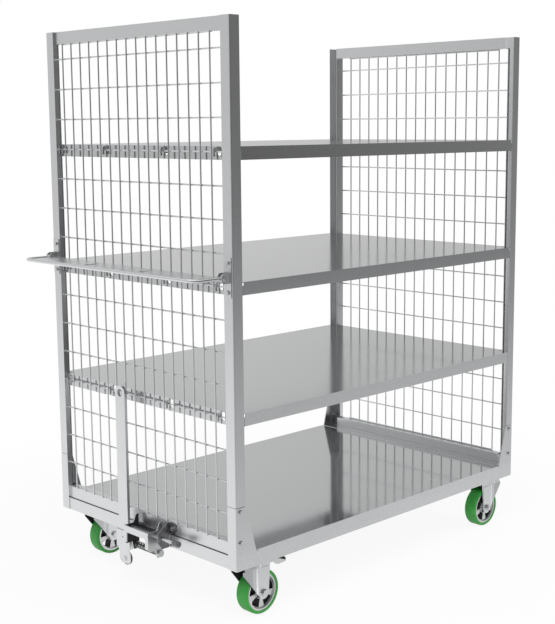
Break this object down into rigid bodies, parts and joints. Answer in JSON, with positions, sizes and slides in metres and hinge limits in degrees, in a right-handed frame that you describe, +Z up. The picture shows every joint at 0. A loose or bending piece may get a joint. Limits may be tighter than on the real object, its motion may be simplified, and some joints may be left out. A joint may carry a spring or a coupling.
{
  "type": "logistics roll container",
  "caption": "Rolling cage cart with wire mesh ends, hooked sheet shelves, a fold-up tray with a rod rim, a folding drawbar and braked swivel casters.",
  "frame": {"origin": "on the floor, in the middle of the overall outline at rest", "axes": "+Z up, +X from the drawbar end to the far end, -Y to the long open side in front"},
  "size_m": [1.578, 0.9406, 1.856],
  "materials": {
    "zinc_sheet": "bright zinc plated sheet",
    "zinc_wire": "bright zinc plated wire",
    "bolt_steel": "zinc plated",
    "caster_steel": "zinc plated pressing",
    "rim_metal": "cast, satin",
    "bearing_steel": "dark oiled",
    "tread_green": "smooth green elastomer",
    "pedal_rubber": "matt",
    "spring_steel": "dark drawn wire",
    "roller_plastic": "moulded",
    "knob_steel": "dark turned"
  },
  "bodies": {
    "container": {"base_frame": "zinc_sheet", "deck_plate": "zinc_sheet", "corner_shoes": "zinc_sheet", "shoe_bolts": "bolt_steel", "post_tow_front": "zinc_sheet", "post_tow_back": "zinc_sheet", "post_far_front": "zinc_sheet", "post_far_back": "zinc_sheet", "top_bar_tow": "zinc_sheet", "top_bar_far": "zinc_sheet", "bottom_rail_tow": "zinc_sheet", "bottom_rail_far": "zinc_sheet", "mesh_tow": "zinc_wire", "mesh_far": "zinc_wire", "shelf_lower": "zinc_sheet", "shelf_middle": "zinc_sheet", "shelf_upper": "zinc_sheet", "tray_brackets": "caster_steel", "tray_bracket_bolts": "bolt_steel", "tray_fold_bolts": "bolt_steel", "caster_plates": "caster_steel", "caster_bolts": "bolt_steel", "king_pins": "bolt_steel", "coupling_housing": "zinc_sheet", "coupling_bolts": "bolt_steel", "lock_guide": "zinc_sheet", "fold_shaft": "bolt_steel", "lift_spring": "spring_steel"},
    "caster_tow_front": {"fork_tow_front": "caster_steel", "axle_tow_front": "bolt_steel"},
    "wheel_tow_front": {"rim_tow_front": "rim_metal", "bearings_tow_front": "bearing_steel", "tyre_tow_front": "tread_green"},
    "caster_tow_back": {"fork_tow_back": "caster_steel", "axle_tow_back": "bolt_steel"},
    "wheel_tow_back": {"rim_tow_back": "rim_metal", "bearings_tow_back": "bearing_steel", "tyre_tow_back": "tread_green"},
    "caster_far_front": {"fork_far_front": "caster_steel", "axle_far_front": "bolt_steel"},
    "wheel_far_front": {"rim_far_front": "rim_metal", "bearings_far_front": "bearing_steel", "tyre_far_front": "tread_green"},
    "caster_far_back": {"fork_far_back": "caster_steel", "axle_far_back": "bolt_steel"},
    "wheel_far_back": {"rim_far_back": "rim_metal", "bearings_far_back": "bearing_steel", "tyre_far_back": "tread_green"},
    "brake_front": {"brake_lever_front": "caster_steel", "brake_pad_front": "pedal_rubber"},
    "brake_back": {"brake_lever_back": "caster_steel", "brake_pad_back": "pedal_rubber"},
    "tray": {"tray_rod": "zinc_wire", "tray_plate": "zinc_sheet"},
    "drawbar": {"drawbar": "zinc_sheet", "roller_pin": "bolt_steel"},
    "guide_roller": {"guide_roller": "roller_plastic"},
    "lock": {"lock_pin": "bolt_steel", "lock_knob": "knob_steel"}
  },
  "joints": [
    {"name": "swivel_tow_front", "type": "hinge", "parent": "container", "child": "caster_tow_front", "pos_m": [-0.543, -0.395, 0.17], "axis": [0, 0, 1], "continuous": true},
    {"name": "spin_tow_front", "type": "hinge", "parent": "caster_tow_front", "child": "wheel_tow_front", "pos_m": [-0.503, -0.395, 0.0725], "axis": [0, 1, 0], "continuous": true},
    {"name": "swivel_tow_back", "type": "hinge", "parent": "container", "child": "caster_tow_back", "pos_m": [-0.543, 0.395, 0.17], "axis": [0, 0, 1], "continuous": true},
    {"name": "spin_tow_back", "type": "hinge", "parent": "caster_tow_back", "child": "wheel_tow_back", "pos_m": [-0.503, 0.395, 0.0725], "axis": [0, 1, 0], "continuous": true},
    {"name": "swivel_far_front", "type": "hinge", "parent": "container", "child": "caster_far_front", "pos_m": [0.727, -0.395, 0.17], "axis": [0, 0, 1], "continuous": true},
    {"name": "spin_far_front", "type": "hinge", "parent": "caster_far_front", "child": "wheel_far_front", "pos_m": [0.687, -0.395, 0.0725], "axis": [0, 1, 0], "continuous": true},
    {"name": "swivel_far_back", "type": "hinge", "parent": "container", "child": "caster_far_back", "pos_m": [0.727, 0.395, 0.17], "axis": [0, 0, 1], "continuous": true},
    {"name": "spin_far_back", "type": "hinge", "parent": "caster_far_back", "child": "wheel_far_back", "pos_m": [0.687, 0.395, 0.0725], "axis": [0, 1, 0], "continuous": true},
    {"name": "brake_press_front", "type": "hinge", "parent": "caster_tow_front", "child": "brake_front", "pos_m": [-0.525, -0.395, 0.1535], "axis": [0, 1, 0], "range_deg": [0, 14]},
    {"name": "brake_press_back", "type": "hinge", "parent": "caster_tow_back", "child": "brake_back", "pos_m": [-0.525, 0.395, 0.1535], "axis": [0, 1, 0], "range_deg": [0, 14]},
    {"name": "tray_fold", "type": "hinge", "parent": "container", "child": "tray", "pos_m": [-0.675, 0, 1.096], "axis": [0, 1, 0], "range_deg": [0, 90]},
    {"name": "drawbar_fold", "type": "hinge", "parent": "container", "child": "drawbar", "pos_m": [-0.666, 0.065, 0.165], "axis": [0, -1, 0], "range_deg": [0, 88], "stiffness_Nm_per_rad": 4.5, "springref_deg": -20.05},
    {"name": "roller_spin", "type": "hinge", "parent": "drawbar", "child": "guide_roller", "pos_m": [-0.6705, 0.065, 0.106], "axis": [1, 0, 0], "continuous": true},
    {"name": "lock_slide", "type": "slide", "parent": "container", "child": "lock", "axis": [0, -1, 0], "range_m": [0, 0.02], "stiffness_N_per_m": 400}
  ]
}
